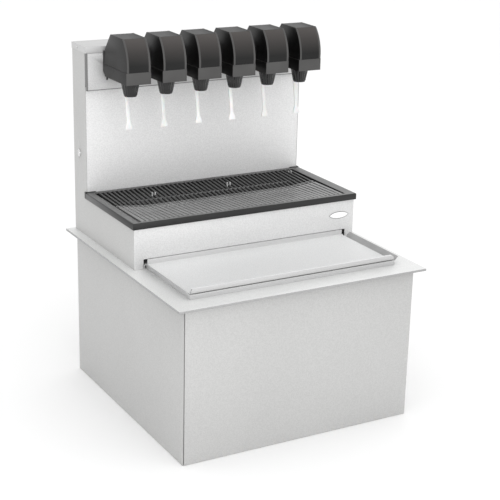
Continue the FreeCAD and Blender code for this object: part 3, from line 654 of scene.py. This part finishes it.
def rest_frame(side, front, back, bottom, top):
    """The rim of the cup rest: one closed section, mitred round its four corners."""
    deep = top - REST_DEPTH
    section = [(0.0, False, bottom), (0.0, False, top - REST_ROUND), (REST_ROUND, False, top),
               (REST_LAND, False, top), (0.0, True, top - REST_SLOPE), (0.0, True, deep),
               (REST_SKIRT, False, deep), (REST_SKIRT, False, bottom)]
    work = bmesh.new()
    corners = []
    for across, edge, inward, bar in ((-1, front, 1, REST_FRONT_BAR), (1, front, 1, REST_FRONT_BAR),
                                      (1, back, -1, REST_BACK_BAR), (-1, back, -1, REST_BACK_BAR)):
        loop = []
        for inset, inner, z in section:
            x = across * (side - (REST_SIDE_BAR if inner else inset))
            y = edge + inward * (bar if inner else inset)
            loop.append(work.verts.new((x, y, z)))
        corners.append(loop)
    count = len(section)
    for first, second in zip(corners, corners[1:] + corners[:1]):
        for index in range(count):
            following = (index + 1) % count
            face = work.faces.new((first[index], first[following], second[following],
                                   second[index]))
            # The top strips take a lighter plastic than the rest of the rim: painted light on its
            # top
            face.material_index = 1 if index in TOP_STRIPS else 0
    return work


def make_rest_rim(low, high, back, rest_top):
    """The rim, with a stop and a broad ear at each back corner."""
    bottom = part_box("box_front")[1].z + FIT_GAP
    side = high.x
    work = rest_frame(side, low.y, back, bottom, rest_top)
    near = back - EAR_DEPTH
    for sign in (-1, 1):
        for wide, far, base in ((STOP_WIDTH, high.y, bottom),
                                (EAR_WIDTH, back, rest_top - EAR_ROOT)):
            ends = (sign * side, sign * (side - wide))
            add_box(work, (min(ends), near, base), (max(ends), far, high.z))
    rim = to_object("cup_rest_frame", work)
    rim.data.materials.append(FINISH["grille_plastic"])
    rim.data.materials.append(FINISH["rim_top_painted_light"])
    bevel(rim, 0.8 * MM, 3)
    bake_down(rim)
    settle(rim, "cup_rest", "grille_plastic")


def make_rest_slats(low, back, inner, rest_top):
    """The slats, the perforated rib along the valley, the bars below and the small tabs."""
    work = bmesh.new()
    valley = low.y + VALLEY_DEPTH
    surface = rest_top - SURFACE_DROP
    front_end = low.y + REST_FRONT_BAR
    back_end = back - REST_BACK_BAR
    for x in slat_places():
        add_loft(work, slat_loops(x, front_end - SLAT_ROOT, valley, back_end + SLAT_ROOT,
                                  surface, slat_dip(inner, x)))
    # Faces behind the valley take the darker slat plastic: painted shade
    for face in work.faces:
        if face.calc_center_median().y > valley + RIB_HALF:
            face.material_index = 1
    for x in slat_places():
        level = surface - 0.96 * slat_dip(inner, x)
        for y in (valley - RIB_HALF - RIB_BAR, valley + RIB_HALF):
            add_box(work, (x - SLAT_PITCH / 2, y, level - 4 * MM),
                    (x + SLAT_PITCH / 2, y + RIB_BAR, level - FIT_GAP))
    reach = inner + BAR_ROOT
    for y in (valley - 3.4 * MM, valley + 2.2 * MM):
        add_box(work, (-reach, y, rest_top - 14 * MM), (reach, y + 1.2 * MM, rest_top - 12 * MM))
    for share in UNDER_BARS:
        y = front_end + share * (back_end - front_end)
        add_box(work, (-reach, y - 1.0 * MM, rest_top - 11 * MM),
                (reach, y + 1.0 * MM, rest_top - 8.4 * MM))
    for x, depth in TAB_PLACES:
        y = low.y + depth
        for place in (x - TAB_SPREAD, x + TAB_SPREAD):
            add_box(work, (place - 1.0 * MM, y - 2 * MM, rest_top - TAB_DROP),
                    (place + 1.0 * MM, y + 2 * MM, rest_top + TAB_RISE), 2)
    slats = bake_down(to_object("cup_rest_slats", work), 30.0)
    for finish in ("slat_plastic", "rear_slat_painted_shade", "tab_plastic"):
        slats.data.materials.append(FINISH[finish])
    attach(slats, BODY_OF["cup_rest"])


def make_cup_rest():
    """The grille: a rounded rim with ears, and the dished slats inside it."""
    low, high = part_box("cup_rest")
    rest_top = high.z - EAR_HEIGHT
    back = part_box("splash_panel")[0].y - SPLASH_GAP
    make_rest_rim(low, high, back, rest_top)
    make_rest_slats(low, back, high.x - REST_SIDE_BAR, rest_top)


# ---------------------------------------------------------------- badge

def make_badge():
    """A blank oval plate with a dark rim, drawn out to a point at each end."""
    low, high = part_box("badge")
    centre = (low + high) / 2
    half_width = (high.x - low.x) / 2
    half_height = (high.z - low.z) / 2
    steps = 96
    tip = 2.0 * MM
    rows = [(0.0, high.y), (0.0, low.y + 0.3 * MM), (0.2 * MM, low.y), (0.95 * MM, low.y),
            (1.2 * MM, low.y + 0.25 * MM), (4.0 * MM, low.y + 0.1 * MM)]
    loops = []
    for inset, y in rows:
        loop = []
        for step in range(steps):
            turn = 2 * math.pi * step / steps
            across = math.cos(turn)
            reach = half_width - tip - inset + tip * abs(across) ** 30
            loop.append((centre.x + reach * across, y,
                         centre.z + (half_height - inset) * math.sin(turn)))
        loops.append(loop)
    work = bmesh.new()
    add_loft(work, loops)
    work.faces.ensure_lookup_table()
    for index in range(4 * steps):
        work.faces[index].material_index = 1
    made = to_object("badge_oval", work)
    made.data.materials.append(FINISH["badge_plate"])
    made.data.materials.append(FINISH["badge_rim"])
    bake_down(made, 25.0)
    return settle(made, "badge", "badge_plate")


# ---------------------------------------------------------------- stage

def add_area(name, place, target, size, energy, colour=(1.0, 1.0, 1.0)):
    """A soft area light that points at a target."""
    data = bpy.data.lights.new(name, "AREA")
    data.shape = "RECTANGLE"
    data.size = size[0]
    data.size_y = size[1]
    data.energy = energy
    data.color = colour
    made = bpy.data.objects.new(name, data)
    made.location = place
    made.rotation_euler = (Vector(target) - Vector(place)).to_track_quat("-Z", "Y").to_euler()
    scene.collection.objects.link(made)


def build_stage():
    """A pale floor, a bright even surround and soft lights."""
    work = bmesh.new()
    bmesh.ops.create_grid(work, x_segments=8, y_segments=8, size=9.0)
    floor = to_object("floor", work)
    floor.location.z = -0.0005
    pale = new_material("pale_floor", (0.93, 0.93, 0.93), 0.9)
    drive_colour(pale, ramp(pale, noise(pale, 0.8), (0.935, 0.935, 0.935), (0.95, 0.95, 0.95)))
    floor.data.materials.append(pale)
    world = bpy.data.worlds.new("surround")
    world.use_nodes = True
    world.node_tree.nodes["Background"].inputs["Color"].default_value = (1.0, 1.0, 1.0, 1.0)
    world.node_tree.nodes["Background"].inputs["Strength"].default_value = 1.07
    scene.world = world
    middle = (0.0, 0.0, 0.45)
    add_area("front", (-0.9, -3.3, 1.1), middle, (3.0, 1.8), 26.0)
    add_area("top", (0.0, -0.9, 3.2), middle, (2.6, 2.6), 10.0)


def build_camera():
    """The viewing angle: from the front left, a little above the tower."""
    data = bpy.data.cameras.new("view")
    data.lens = 93.9
    data.sensor_width = 36.0
    camera = bpy.data.objects.new("view", data)
    camera.location = (-1.327, -2.380, 1.255)
    camera.rotation_euler = tuple(math.radians(angle) for angle in (71.40, -1.31, -29.18))
    scene.collection.objects.link(camera)
    scene.camera = camera


# ---------------------------------------------------------------- build

build_camera()
build_stage()
scene.view_settings.view_transform = "Standard"
paint_frame()

for part, steel in SHEET_PARTS.items():
    refine(part, 0.4 * MM, finish=steel, sides=PAINTED_SHADE_FACES.get(part))
for part in SMALL_PARTS:
    refine(part, 0.5 * MM)
for valve in VALVES:
    # Each valve body's left-facing faces take the near-black cover plastic: painted shade on their
    # left sides
    refine("valve_body_%d" % valve, 1.0 * MM, 3, sides=("cover_plastic", [LEFT]))
    make_cover(valve)
    make_nozzle(valve)
    make_lever(valve)
make_cup_rest()
make_badge()
